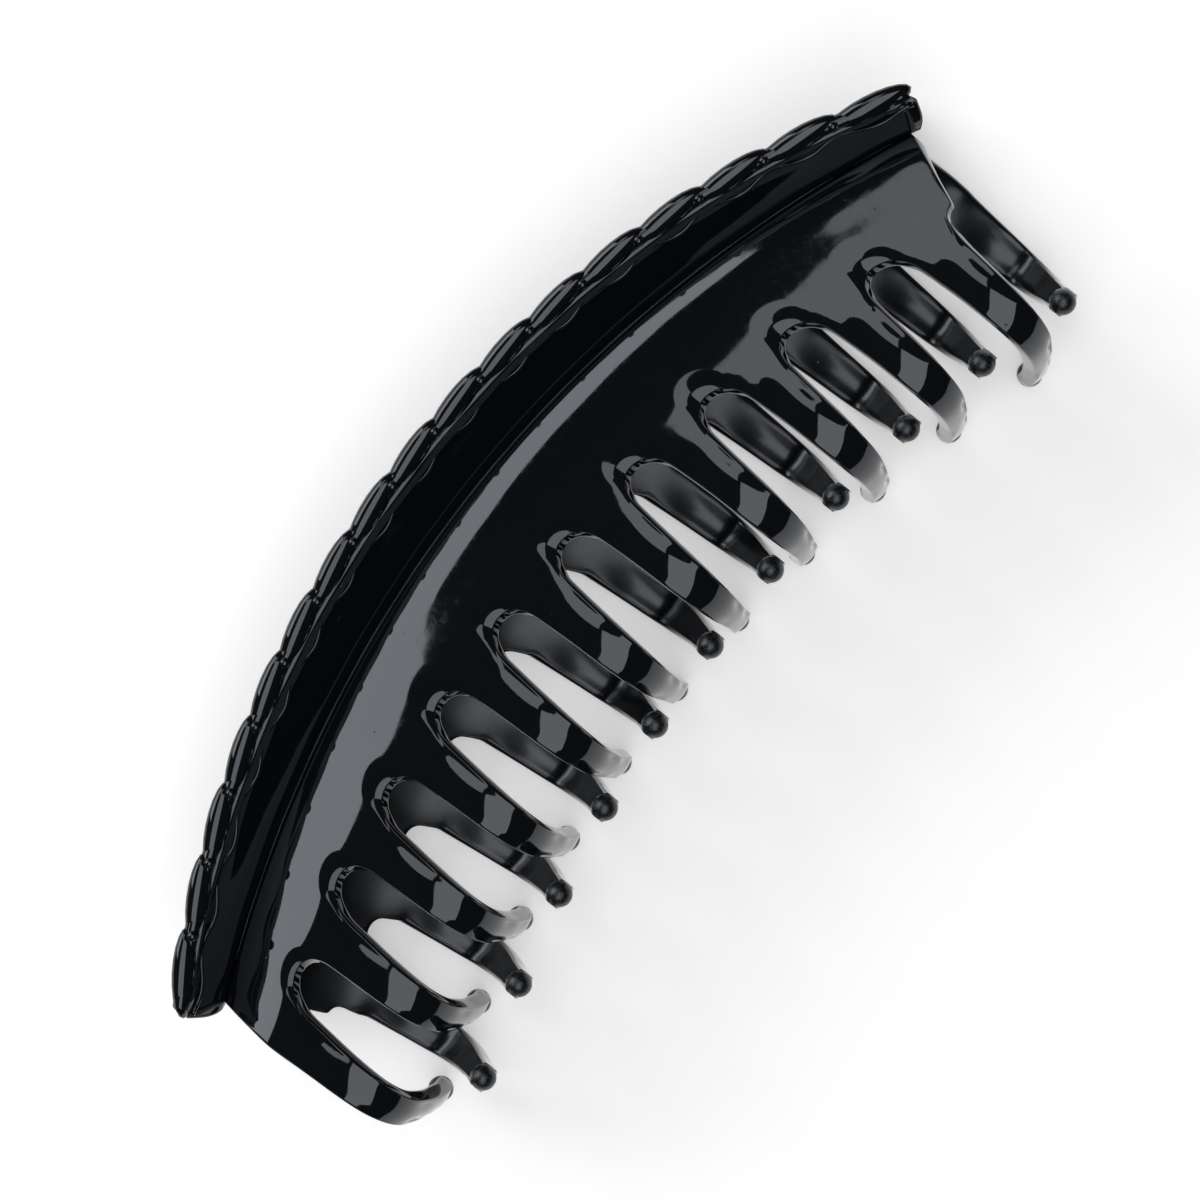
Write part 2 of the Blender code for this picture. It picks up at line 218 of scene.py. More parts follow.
@dataclass(frozen=True)
class NodeMaker:
    """Short hand for building a material's nodes."""

    material: bpy.types.Material

    @classmethod
    def start(cls, name: str) -> "NodeMaker":
        """Make a new material with nodes.

        Args:
            name: Name of the material.

        Returns:
            The maker of its nodes.
        """
        material = bpy.data.materials.new(name)
        material.use_nodes = True
        return cls(material)

    def shader(self) -> bpy.types.ShaderNode:
        """The material's own surface shader."""
        return self.material.node_tree.nodes["Principled BSDF"]

    def add(self, kind: str, **values: object) -> bpy.types.ShaderNode:
        """Add a node.

        Args:
            kind: The node's type name.
            values: Settings by attribute name.

        Returns:
            The new node.
        """
        node = self.material.node_tree.nodes.new(kind)
        for key, value in values.items():
            setattr(node, key, value)
        return node

    def link(self, out: bpy.types.NodeSocket, into: bpy.types.NodeSocket) -> None:
        """Join two sockets."""
        self.material.node_tree.links.new(out, into)

    def noise(self, scale: float, detail: float = 3.0, roughness: float = 0.5) -> bpy.types.ShaderNode:
        """Add a noise in object coordinates.

        Args:
            scale: Waves to the metre.
            detail: Octaves of the noise.
            roughness: Weight of the finer octaves.

        Returns:
            The noise node.
        """
        place = self.add("ShaderNodeTexCoord")
        node = self.add("ShaderNodeTexNoise")
        node.inputs["Scale"].default_value = scale
        node.inputs["Detail"].default_value = detail
        node.inputs["Roughness"].default_value = roughness
        self.link(place.outputs["Object"], node.inputs["Vector"])
        return node

    def spots(self, scale: float, size: float, soft: float) -> bpy.types.NodeSocket:
        """Scatter small round spots in object coordinates.

        Args:
            scale: Cells to the metre.
            size: Radius of a spot, in cells.
            soft: Width of its soft edge, in cells.

        Returns:
            A socket that is 1 in a spot and 0 outside.
        """
        place = self.add("ShaderNodeTexCoord")
        cells = self.add("ShaderNodeTexVoronoi", feature="F1")
        cells.inputs["Scale"].default_value = scale
        self.link(place.outputs["Object"], cells.inputs["Vector"])
        return self.range(cells.outputs["Distance"], size, size + soft, 1.0, 0.0)

    def range(self, value: bpy.types.NodeSocket, low: float, high: float,
              to_low: float, to_high: float) -> bpy.types.NodeSocket:
        """Map a value from one range to another, clamped.

        Args:
            value: The socket that is read.
            low: Lower end of what is read.
            high: Upper end of what is read.
            to_low: What the lower end becomes.
            to_high: What the upper end becomes.

        Returns:
            The mapped socket.
        """
        node = self.add("ShaderNodeMapRange")
        for name, number in (("From Min", low), ("From Max", high), ("To Min", to_low), ("To Max", to_high)):
            node.inputs[name].default_value = number
        self.link(value, node.inputs["Value"])
        return node.outputs["Result"]

    def maths(self, operation: str, first: bpy.types.NodeSocket, second: object) -> bpy.types.NodeSocket:
        """Work on two values.

        Args:
            operation: Name of the operation.
            first: The first socket.
            second: A socket or a number.

        Returns:
            The result's socket.
        """
        node = self.add("ShaderNodeMath", operation=operation)
        self.link(first, node.inputs[0])
        if isinstance(second, (int, float)):
            node.inputs[1].default_value = second
        else:
            self.link(second, node.inputs[1])
        return node.outputs[0]

    def colour(self, first: Tint, second: Tint, share: bpy.types.NodeSocket) -> None:
        """Mix the base colour of two tints.

        Args:
            first: Tint where the share is 0.
            second: Tint where the share is 1.
            share: The socket that mixes them.
        """
        mix = self.add("ShaderNodeMix", data_type="RGBA")
        mix.inputs["A"].default_value = (*first, 1.0)
        mix.inputs["B"].default_value = (*second, 1.0)
        self.link(share, mix.inputs["Factor"])
        self.link(mix.outputs["Result"], self.shader().inputs["Base Color"])

    def bump(self, height: bpy.types.NodeSocket, distance: float, strength: float = 1.0) -> None:
        """Raise the surface.

        Args:
            height: The socket with the height.
            distance: Metres for a height of 1.
            strength: Share of the effect.
        """
        node = self.add("ShaderNodeBump")
        node.inputs["Distance"].default_value = distance
        node.inputs["Strength"].default_value = strength
        self.link(height, node.inputs["Height"])
        self.link(node.outputs["Normal"], self.shader().inputs["Normal"])


@dataclass(frozen=True)
class GlossPlastic:
    """Glossy black moulded plastic with faint flow waves, pits, scuffs and dust."""

    name: str = "black_plastic"
    tint: Tint = (0.0035, 0.0045, 0.006)
    dust_tint: Tint = (0.2, 0.21, 0.22)
    sheen: Tint = (0.88, 0.93, 1.0)
    smooth: float = 0.035
    worn: float = 0.084
    index: float = 1.53
    flow_scale: float = 110.0
    flow_depth: float = 0.00003
    scuff_scale: float = 900.0
    scuff_share: float = 0.006
    pit_scale: float = 260.0
    pit_size: tuple[float, float] = (0.034, 0.02)
    pit_area_scale: float = 60.0
    pit_share: float = 0.9
    dust_scale: float = 330.0
    dust_size: tuple[float, float] = (0.028, 0.012)
    dust_area_scale: float = 85.0
    spot_rough: float = 0.3

    def make(self) -> bpy.types.Material:
        """Build the material.

        Returns:
            The plastic, whose pits and dust lie in loose groups.
        """
        nodes = NodeMaker.start(self.name)
        shader = nodes.shader()
        shader.inputs["IOR"].default_value = self.index
        shader.inputs["Specular Tint"].default_value = (*self.sheen, 1.0)
        flow = nodes.noise(self.flow_scale, 1.0, 0.4).outputs["Fac"]
        scuff = nodes.noise(self.scuff_scale, 4.0, 0.7).outputs["Fac"]
        pit_area = nodes.noise(self.pit_area_scale, 2.0).outputs["Fac"]
        dust_area = nodes.noise(self.dust_area_scale, 2.0).outputs["Fac"]
        pits = nodes.maths("MULTIPLY", nodes.spots(self.pit_scale, *self.pit_size),
                           nodes.range(pit_area, 0.55, 0.62, 0.0, 1.0))
        dust = nodes.maths("MULTIPLY", nodes.spots(self.dust_scale, *self.dust_size),
                           nodes.range(dust_area, 0.58, 0.66, 0.0, 1.0))
        nodes.colour(self.tint, self.dust_tint, dust)
        rubbed = nodes.range(scuff, 0.5, 0.78, self.smooth, self.worn)
        spots = nodes.maths("MULTIPLY", nodes.maths("ADD", pits, dust), self.spot_rough)
        nodes.link(nodes.maths("ADD", rubbed, spots), shader.inputs["Roughness"])
        height = nodes.maths("SUBTRACT", flow, nodes.maths("MULTIPLY", pits, self.pit_share))
        height = nodes.maths("ADD", height, nodes.maths("MULTIPLY", scuff, self.scuff_share))
        nodes.bump(height, self.flow_depth)
        return nodes.material


@dataclass(frozen=True)
class TipPlastic:
    """The rubbed, slightly dull black of the ball tips, with fine pale speckle."""

    name: str = "tip_plastic"
    tint: Tint = (0.003, 0.005, 0.008)
    speckle: Tint = (0.022, 0.032, 0.042)
    index: float = 1.5
    grain_scale: float = 4200.0
    grain_depth: float = 0.00004
    rough: tuple[float, float] = (0.16, 0.38)

    def make(self) -> bpy.types.Material:
        """Build the material.

        Returns:
            The plastic, with its grain in colour, roughness and height.
        """
        nodes = NodeMaker.start(self.name)
        shader = nodes.shader()
        shader.inputs["IOR"].default_value = self.index
        grain = nodes.noise(self.grain_scale, 4.0, 0.7).outputs["Fac"]
        nodes.colour(self.tint, self.speckle, nodes.range(grain, 0.52, 0.7, 0.0, 1.0))
        nodes.link(nodes.range(grain, 0.35, 0.65, *self.rough), shader.inputs["Roughness"])
        nodes.bump(grain, self.grain_depth)
        return nodes.material


@dataclass(frozen=True)
class DrawnSteel:
    """Drawn steel wire and bar: fine lines along the draw and a few dull specks."""

    name: str
    tint: Tint = (0.56, 0.57, 0.58)
    dull: Tint = (0.3, 0.29, 0.27)
    stretch: tuple[float, float, float] = (120.0, 3200.0, 3200.0)
    stain_scale: float = 420.0
    stain_share: float = 0.8
    line_depth: float = 0.00003
    rough: tuple[float, float] = (0.22, 0.42)

    def make(self) -> bpy.types.Material:
        """Build the material.

        Returns:
            The steel, with its drawn lines in roughness and height.
        """
        nodes = NodeMaker.start(self.name)
        shader = nodes.shader()
        shader.inputs["Metallic"].default_value = 1.0
        place = nodes.add("ShaderNodeTexCoord")
        mapping = nodes.add("ShaderNodeMapping")
        mapping.inputs["Scale"].default_value = self.stretch
        nodes.link(place.outputs["Object"], mapping.inputs["Vector"])
        drawn = nodes.add("ShaderNodeTexNoise")
        drawn.inputs["Scale"].default_value = 1.0
        drawn.inputs["Detail"].default_value = 4.0
        nodes.link(mapping.outputs["Vector"], drawn.inputs["Vector"])
        lines = drawn.outputs["Fac"]
        stain = nodes.noise(self.stain_scale).outputs["Fac"]
        nodes.colour(self.tint, self.dull, nodes.range(stain, 0.52, 0.72, 0.0, self.stain_share))
        nodes.link(nodes.range(lines, 0.3, 0.7, *self.rough), shader.inputs["Roughness"])
        nodes.bump(lines, self.line_depth)
        return nodes.material


@dataclass(frozen=True)
class JawForm:
    """Measures of one jaw in millimetres."""

    hinge_v: float = 0.5
    tooth_count: int = 11
    tooth_pitch: float = 12.0
    first_tooth_x: float = 57.0
    root_half: float = 3.1
    root_depth: float = 2.5
    tooth_depth: float = 3.0
    tip_depth: float = 2.5
    knee_run: float = 20.0
    knee_half: float = 2.5
    crossing_run: float = 43.8
    crossing_half: float = 1.6
    neck_half: float = 1.62
    neck_reach: float = 2.2
    end_depth: float = 1.6
    tip_radius: float = 1.6
    lean: float = 0.05
    skew: float = 1.3
    lean_power: float = 1.5
    draft: float = 0.45
    tip_draft: float = 0.1
    crown: float = 0.35
    dish: float = 0.45
    dish_end: float = 4.0
    crown_fade: float = 2.0
    slot_top_run: float = 12.0
    slot_steps: int = 10
    slot_follow: tuple[float, float] = (2.0, 0.92)
    wall: float = 2.3
    rim_half_length: float = 69.6
    body_half_length: float = 66.2
    shoulder_run: float = 10.7
    shoulder_taper: float = 0.36
    shoulder_fillet: float = 2.6
    across_end: tuple[float, ...] = (0.2, 0.45, 0.72, 1.0)
    rim_arch: float = 0.0036
    valley_arch: float = 0.0033
    tooth_arch: float = 0.0028
    tip_arch: float = 0.0025
    rim_end_drop: float = 2.0
    crown_x: float = -1.0
    tooth_crown_x: float = -7.5
    wave_depth: float = 0.14
    round_share: float = 45.0
    round_steps: int = 3
    wing_outer: Pairs = ((13.3, 7.6), (9.5, 3.9), (6.9, 1.5), (5.9, 0.6))
    wing_inner: Pairs = ((11.9, 8.7), (8.0, 5.0), (4.7, 1.9), (3.5, 0.4))
    wing_levels: tuple[float, ...] = (0.0, 0.35, 0.7, 1.05, 1.4, 1.75, 2.1, 2.4, 2.65, 2.85, 3.0)
    band_runs: tuple[float, ...] = (0.0, 0.25, 0.7, 1.4, 2.6, 4.0, 5.5, 7.1, 8.7, 10.0, 11.0)
    roll: float = 0.6
    roll_run: float = 3.2
    flank_roll: float = 0.35
    band_root: tuple[float, float] = (4.4, -2.3)
    band_root_run: float = 5.8
    curve: Pairs = ((7.15, 0.2), (8.2, -2.2), (9.2, -4.95), (11.1, -10.3), (13.0, -16.9), (14.3, -22.4),
                    (13.9, -27.2), (10.4, -30.7), (4.0, -32.6), (-2.5, -33.7), (-8.3, -34.3), (-12.6, -33.6))
    tooth_rows: int = 22
    across_tooth: tuple[float, ...] = (-1.0, -0.36, 0.0, 0.36, 1.0)


@dataclass(frozen=True)
class RopeForm:
    """Measures of the rope along the rim in millimetres."""

    lobes: int = 17
    half_long: float = 5.6
    half_across: float = 1.75
    half_thick: float = 1.33
    twist: float = 7.0
    core: float = 1.15
    bead: float = 0.7
    bead_lift: tuple[float, float, float] = (0.0, 0.45, 0.8)
    end_gap: float = 0.6
    lip: float = 0.3
    lip_wave: float = 0.55
    lip_shift: float = -2.05
    lip_lift: float = 0.75
    lip_gap: float = 0.5
    rise: float = 0.2
    core_rings: int = 160
    lip_rings: int = 260
    bar_sides: int = 12


@dataclass(frozen=True)
class EarForm:
    """Measures of the hinge ears in millimetres."""

    bore: float = 1.36
    radius: float = 2.6
    width: float = 3.0
    inner_start: float = 7.7
    gap: float = 0.3
    sides: int = 40
    turn: float = 12.0
    sharp_angle: float = 35.0
    foot: Pairs = ((2.0, 5.0), (-0.5, 4.2), (-3.6, 6.0))


@dataclass
class Jaw:
    """One moulded jaw: wall with its teeth, rope, ball tips and hinge ears."""

    side: Side
    hinge: Vector
    finishes: dict[Finish, bpy.types.Material]
    form: JawForm = field(default_factory=JawForm)
    rope_form: RopeForm = field(default_factory=RopeForm)
    ear_form: EarForm = field(default_factory=EarForm)

    def __post_init__(self) -> None:
        """Work out the smooth curves that the jaw follows."""
        self.curve, self.run = smooth_curve(self.form.curve)
        self.wing = [smooth_curve(line)[0] for line in (self.form.wing_outer, self.form.wing_inner)]
        self.end = float(self.run[-1])
        self.neck_run = self.end - self.form.neck_reach * self.form.tip_radius
        self.slot_radius = self.form.tooth_pitch / 2 - self.form.root_half
        self.tooth_start = self.form.slot_top_run + self.slot_radius

    def build(self) -> bpy.types.Object:
        """Build the whole jaw as one piece.

        Returns:
            The finished object, in place and riding on its body.
        """
        wall = self.wall()
        parts = [self.rope(), self.balls(), *self.ears()]
        item = self.join(wall, parts)
        item.data.transform(self.placing())
        node = f"{self.side.value}_jaw"
        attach(item, self.side.value)
        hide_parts(node)
        LOG.info("%s built with %d faces", item.name, len(item.data.polygons))
        return item

    def placing(self) -> Matrix:
        """Set the jaw on the hinge.

        Returns:
            Transform from the jaw's own measures, in metres, to its place.
        """
        down = Matrix.Translation((0.0, -self.form.hinge_v * MM, 0.0))
        turn = Matrix.Rotation(math.pi if self.side is Side.LOWER else 0.0, 4, "Y")
        return Matrix.Translation(self.hinge) @ turn @ down

    def curve_at(self, run: float) -> tuple[np.ndarray, np.ndarray]:
        """Follow the outer curve.

        Args:
            run: Run along the curve.

        Returns:
            The point there, and the direction into the wall.
        """
        point, ahead, behind = (
            np.array([np.interp(place, self.run, self.curve[:, k]) for k in (0, 1)])
            for place in (run, run + 0.5, run - 0.5)
        )
        along = (ahead - behind) / np.linalg.norm(ahead - behind)
        return point, np.array([along[1], -along[0]])

    def wing_drop(self, share: float, x: float) -> float:
        """Arch of the wing.

        Args:
            share: 0 at the rim and 1 at the valley.
            x: Place along the clip.

        Returns:
            How far the wing lies below its crown.
        """
        form = self.form
        bend = form.rim_arch + (form.valley_arch - form.rim_arch) * share
        end = form.rim_end_drop * (1.0 - share) * ((x - form.crown_x) / form.rim_half_length) ** 4
        return bend * (x - form.crown_x) ** 2 + end

    def tooth_drop(self, run: float, x: float) -> float:
        """Arch of the band and the teeth.

        Args:
            run: Run along the outer curve.
            x: Place along the clip.

        Returns:
            How far the wall lies below its crown.
        """
        form = self.form
        share = min(max(run / form.slot_top_run, 0.0), 1.0)
        arches = (form.valley_arch, form.tooth_arch, form.tip_arch)
        bend = float(np.interp(run, (0.0, form.slot_top_run, self.end), arches))
        crown = form.crown_x + (form.tooth_crown_x - form.crown_x) * share
        return bend * (x - crown) ** 2

    def half(self, run: float) -> float:
        """Width of a tooth at a run along it.

        Args:
            run: Run along the outer curve.

        Returns:
            Half the width of its outer face.
        """
        form = self.form
        runs = (form.slot_top_run, form.knee_run, form.crossing_run, self.neck_run)
        return float(np.interp(run, runs, (form.root_half, form.knee_half, form.crossing_half, form.neck_half)))

    def depth(self, run: float) -> float:
        """Depth of the wall at a run along it.

        Args:
            run: Run along the outer curve.

        Returns:
            The depth from the outer to the inner face.
        """
        form = self.form
        runs = (0.0, form.slot_top_run, form.knee_run, self.neck_run, self.end)
        depths = (form.wall, form.root_depth, form.tooth_depth, form.tip_depth, form.end_depth)
        return float(np.interp(run, runs, depths))

    def draft(self, run: float) -> float:
        """Widening of a tooth from its outer to its inner face."""
        form = self.form
        return float(np.interp(run, (form.knee_run, form.crossing_run), (form.draft, form.tip_draft)))

    def columns(self) -> list[Place]:
        """List the grid's columns.

        Returns:
            Their places across the jaw from its low end.
        """
        form = self.form
        places = []
        for tooth in reversed(range(form.tooth_count)):
            places += [Place(Column.TOOTH, tooth, value) for value in form.across_tooth]
            if tooth > 0:
                steps = range(1, form.slot_steps)
                places += [Place(Column.SLOT, tooth, math.pi * (step / form.slot_steps - 0.5)) for step in steps]
        return places + [Place(Column.END, 0, value) for value in form.across_end]

    def tooth_x(self, tooth: int) -> float:
        """Middle of a tooth at its root."""
        return self.form.first_tooth_x - self.form.tooth_pitch * tooth

    def flat_x(self, place: Place, half: float, draft: float) -> float:
        """Find a column before the teeth lean.

        Args:
            place: The column.
            half: Half the width of a tooth there.
            draft: Widening of the tooth there.

        Returns:
            Its place along the clip.
        """
        kind, tooth, value = place
        if kind is Column.TOOTH:
            return self.tooth_x(tooth) + value * (half + draft)
        if kind is Column.SLOT:
            return self.tooth_x(tooth) + self.form.tooth_pitch / 2 + (self.slot_radius - draft) * math.sin(value)
        start = self.tooth_x(0) + self.form.root_half
        return start + (self.form.body_half_length - start) * value

    def slot_run(self, place: Place, draft: float) -> float:
        """Follow the slot row: half rounds between the teeth, and the shoulder's edge.

        Args:
            place: The column.
            draft: Widening of the teeth there.

        Returns:
            The row's run at that column.
        """
        kind, _, value = place
        if kind is Column.SLOT:
            return self.form.slot_top_run + self.slot_radius - (self.slot_radius - draft) * math.cos(value)
        if kind is Column.END:
            return self.form.shoulder_run + self.form.shoulder_fillet * (1.0 - value) ** 2
        return self.tooth_start

    def wing_point(self, level: float, place: Place, inner: bool) -> Vector:
        """Point of the handle wing, with its faint waves.

        Args:
            level: The row's level, which counts the points of the wing's line.
            place: The column.
            inner: Whether the point is on the inner face.

        Returns:
            The point in the jaw's measures.
        """
        form = self.form
        share = level / (len(form.wing_outer) - 1)
        stretch = 1.0 + (form.rim_half_length / form.body_half_length - 1.0) * (1.0 - share)
        x = self.flat_x(place, form.root_half, 0.0) * stretch
        line = self.wing[inner]
        w, v = line[round(share * (len(line) - 1))]
        if not inner:
            wave = form.wave_depth * math.sin(math.pi * share) * math.sin(2 * math.pi * x / form.tooth_pitch)
            w, v = w + wave, v + wave
        return Vector((x, v - self.wing_drop(share, x), w))

    def body_point(self, run: float, place: Place, inner: bool, blend: float) -> Vector:
        """Point of the band.

        Args:
            run: Run of the row where it crosses a slot's middle.
            place: The column.
            inner: Whether the point is on the inner face.
            blend: How far the row already follows the slot tops.

        Returns:
            The point in the jaw's measures.
        """
        form = self.form
        draft = form.draft * blend if inner else 0.0
        run += (self.slot_run(place, draft) - form.slot_top_run) * blend
        x = self.flat_x(place, self.half(run), draft)
        if place.kind is Column.END:
            x -= form.shoulder_taper * run * place.value
        point, inward = self.curve_at(run)
        if not inner:
            w, v = point + inward * self.roll(run, place)
        else:
            w, v = point + inward * self.depth(run)
            if run < form.band_root_run:
                deep, into = self.curve_at(form.band_root_run)
                share = run / form.band_root_run
                w, v = np.array(form.band_root) * (1 - share) + (deep + into * self.depth(run)) * share
        return Vector((x, v - self.tooth_drop(run, x), w))

    def roll(self, run: float, place: Place) -> float:
        """Round the outer face off towards the edge of a slot.

        Args:
            run: Run along the outer curve.
            place: The column.

        Returns:
            How far the face sinks there.
        """
        form = self.form
        edge = {
            Column.SLOT: form.flank_roll + (1.0 - form.flank_roll) * math.cos(place.value),
            Column.TOOTH: form.flank_roll * place.value ** 4,
            Column.END: 0.0,
        }[place.kind]
        near = 1.0 - (self.slot_run(place, 0.0) - run) / form.roll_run
        return form.roll * edge * min(max(near, 0.0), 1.0) ** 2

    def tooth_lean(self, run: float, tooth: int) -> float:
        """Lean of a tooth along the clip, which grows towards its end.

        Args:
            run: Run along the outer curve.
            tooth: Number of the tooth.

        Returns:
            How far it has moved towards the low end.
        """
        form = self.form
        share = (run - self.tooth_start) / (self.end - self.tooth_start)
        return (self.tooth_x(tooth) * form.lean + form.skew) * share ** form.lean_power

    def tooth_point(self, run: float, place: Place, inner: bool) -> Vector:
        """Point of a tooth, crowned outside and dished inside.

        Args:
            run: Run along the outer curve.
            place: The column.
            inner: Whether the point is on the inner face.

        Returns:
            The point in the jaw's measures.
        """
        form = self.form
        x = self.flat_x(place, self.half(run), self.draft(run) if inner else 0.0)
        point, inward = self.curve_at(run)
        fade = ramp(run, self.tooth_start, form.knee_run + form.crown_fade)
        if inner:
            dish = form.dish * (1.0 - ramp(run, form.crossing_run, self.end - form.dish_end))
            push = self.depth(run) - fade * dish * (1.0 - place.value ** 2)
        else:
            push = (fade * form.crown + (1.0 - fade) * form.roll * form.flank_roll) * place.value ** 2
        w, v = point + inward * push
        drop = self.tooth_drop(run, self.tooth_x(place.tooth))
        return Vector((x - self.tooth_lean(run, place.tooth), v - drop, w))

    def rows(self) -> list[Level]:
        """List the grid's rows.

        Returns:
            Their levels from the rim to the ends of the teeth.
        """
        form = self.form
        start, share = form.slot_follow
        teeth = np.linspace(self.tooth_start, self.end - form.tip_radius, form.tooth_rows)[1:]
        rows = [Level(Row.WING, level, 0.0) for level in form.wing_levels]
        rows += [Level(Row.BAND, run, ramp(run, start, form.slot_top_run) * share) for run in form.band_runs]
        rows.append(Level(Row.SLOT, form.slot_top_run, 1.0))
        return rows + [Level(Row.TOOTH, float(run), 1.0) for run in teeth]

    def wall(self) -> bpy.types.Object:
        """Cut the slots in a grid, grow it to its thickness, curve it and round its edges.

        Returns:
            The wall with its teeth, in the jaw's measures.
        """
        places, rows = self.columns(), self.rows()
        slot_row = next(index for index, row in enumerate(rows) if row.kind is Row.SLOT)
        across, down = len(places) - 1, len(rows) - 1
        mesh = bmesh.new()
        bmesh.ops.create_grid(mesh, x_segments=across, y_segments=down, size=0.5)

        def cell(vert: bmesh.types.BMVert) -> tuple[int, int]:
            """Column and row of a grid vertex."""
            return round((vert.co.x + 0.5) * across), round((0.5 - vert.co.y) * down)

        gaps = []
        for face in mesh.faces:
            cells = [cell(vert) for vert in face.verts]
            columns = sorted({column for column, _ in cells})
            kinds = [places[column][:2] for column in columns]
            on_tooth = kinds[0] == kinds[1] and kinds[0][0] is Column.TOOTH
            if min(row for _, row in cells) >= slot_row and not on_tooth:
                gaps.append(face)
        bmesh.ops.delete(mesh, geom=gaps, context="FACES")
        outer = {vert: cell(vert) for vert in mesh.verts}
        grown = bmesh.ops.extrude_face_region(mesh, geom=list(mesh.faces))
        inner = {vert: cell(vert) for vert in grown["geom"] if isinstance(vert, bmesh.types.BMVert)}
        for group, is_inner in ((outer, False), (inner, True)):
            for vert, (column, row) in group.items():
                level = rows[row]
                if level.kind is Row.WING:
                    vert.co = self.wing_point(level.value, places[column], is_inner)
                elif level.kind is Row.TOOTH:
                    vert.co = self.tooth_point(level.value, places[column], is_inner)
                else:
                    vert.co = self.body_point(level.value, places[column], is_inner, level.blend)
        for face in mesh.faces:
            finish = Finish.INNER if all(vert in inner for vert in face.verts) else Finish.OUTER
            face.material_index = finish.value
        self.round_edges(mesh, outer, inner)
        item = new_object("jaw_wall", mesh)
        soft = item.modifiers.new("soft", "SUBSURF")
        soft.levels = soft.render_levels = 1
        return applied(item)

    def round_edges(self, mesh: bmesh.types.BMesh, outer: Cells, inner: Cells) -> None:
        """Round the edges between the faces and the sides of the wall.

        Args:
            mesh: The wall.
            outer: Vertices of its outer face, of which the removed ones are taken out.
            inner: Vertices of its inner face, of which the removed ones are taken out.
        """
        for group in (outer, inner):
            rim = []
            for edge in mesh.edges:
                if not all(vert in group for vert in edge.verts):
                    continue
                if any(any(vert not in group for vert in face.verts) for face in edge.link_faces):
                    rim.append(edge)
            bmesh.ops.bevel(mesh, geom=rim, offset=self.form.round_share, offset_type="PERCENT",
                            segments=self.form.round_steps, profile=0.5, affect="EDGES", material=-1)
            live = set(mesh.verts)
            for other in (outer, inner):
                for vert in [vert for vert in other if vert not in live]:
                    del other[vert]

    def rim_line(self, x: float) -> tuple[Vector, Vector, Vector]:
        """Follow the rim.

        Args:
            x: Place along the clip.

        Returns:
            The rim's middle, with the directions up the wing and out of it.
        """
        form = self.form
        (outer_w, outer_v), (below_w, below_v) = form.wing_outer[:2]
        inner_w, inner_v = form.wing_inner[0]
        up = Vector((0.0, outer_v - below_v, outer_w - below_w)).normalized()
        out = Vector((0.0, -up.z, up.y))
        if out.z < 0.0:
            out = -out
        drop = self.wing_drop(0.0, x)
        middle = Vector((x, (outer_v + inner_v) / 2 - drop, (outer_w + inner_w) / 2))
        return middle + up * self.rope_form.rise, up, out

    def rope(self) -> bpy.types.Object:
        """Twist a rope: overlapping leaf-shaped strands on a core, with beads and a lip.

        Returns:
            The rope in the jaw's measures.
        """
        rope = self.rope_form
        length = self.form.rim_half_length - rope.end_gap
        pitch = 2 * length / rope.lobes
        mesh = bmesh.new()
        self.sweep(mesh, rope.core, length, 0.0, 0.0, rope.core_rings)
        self.sweep(mesh, rope.lip, length - rope.lip_gap, rope.lip_shift, rope.lip_wave, rope.lip_rings)
        for lobe in range(rope.lobes):
            x = -length + pitch * (lobe + 0.5)
            made = bmesh.ops.create_uvsphere(mesh, u_segments=20, v_segments=14, radius=1.0)["verts"]
            shape = Matrix.Diagonal((rope.half_long, rope.half_across, rope.half_thick, 1.0))
            self.set_on_rim(mesh, made, shape, x, rope.twist)
            if lobe > 0:
                bead = bmesh.ops.create_uvsphere(mesh, u_segments=12, v_segments=8, radius=rope.bead)["verts"]
                self.set_on_rim(mesh, bead, Matrix.Translation(rope.bead_lift), x - pitch / 2, 0.0)
        return new_object("rope", mesh)

    def set_on_rim(self, mesh: bmesh.types.BMesh, verts: list, shape: Matrix, x: float, twist: float) -> None:
        """Shape some vertices and set them on the rim.

        Args:
            mesh: The bmesh that holds them.
            verts: Vertices round the origin: x along, y up the wing, z out of it.
            shape: Their own shaping.
            x: Place along the rim.
            twist: Turn about the outward direction, in degrees.
        """
        middle, up, out = self.rim_line(x)
        ahead = self.rim_line(x + 0.5)[0] - self.rim_line(x - 0.5)[0]
        along = ahead.normalized()
        raised = out.cross(along).normalized()
        outward = along.cross(raised).normalized()
        if raised.dot(up) < 0.0:
            raised = -raised
        if outward.dot(out) < 0.0:
            outward = -outward
        basis = Matrix((along, raised, outward)).transposed().to_4x4()
        place = Matrix.Translation(middle) @ basis @ Matrix.Rotation(math.radians(twist), 4, "Z") @ shape
        bmesh.ops.transform(mesh, matrix=place, verts=verts)

    def sweep(self, mesh: bmesh.types.BMesh, radius: float, length: float, shift: float, wave: float,
              steps: int) -> None:
        """Sweep a round bar along the rim.

        Args:
            mesh: The bmesh it is added to.
            radius: Radius of the bar.
            length: Half its length along x.
            shift: How far up the wing it lies from the rim's middle.
            wave: How far it swings with the rope's lobes.
            steps: Rings along it.
        """
        rope = self.rope_form
        pitch = 2 * (self.form.rim_half_length - rope.end_gap) / rope.lobes
        lift = rope.lip_lift if shift else 0.0

        def place(share: float, angle: float) -> Vector:
            """Point of the bar at a share of its length and an angle round it."""
            x = 2 * length * share
            middle, up, out = self.rim_line(x)
            swing = wave * math.cos(2 * math.pi * (x + self.form.rim_half_length) / pitch)
            across, thick = radius * math.cos(angle), radius * math.sin(angle)
            return middle + up * (across + shift + swing) + out * (thick + lift)

        add_tube(mesh, steps, rope.bar_sides, place)

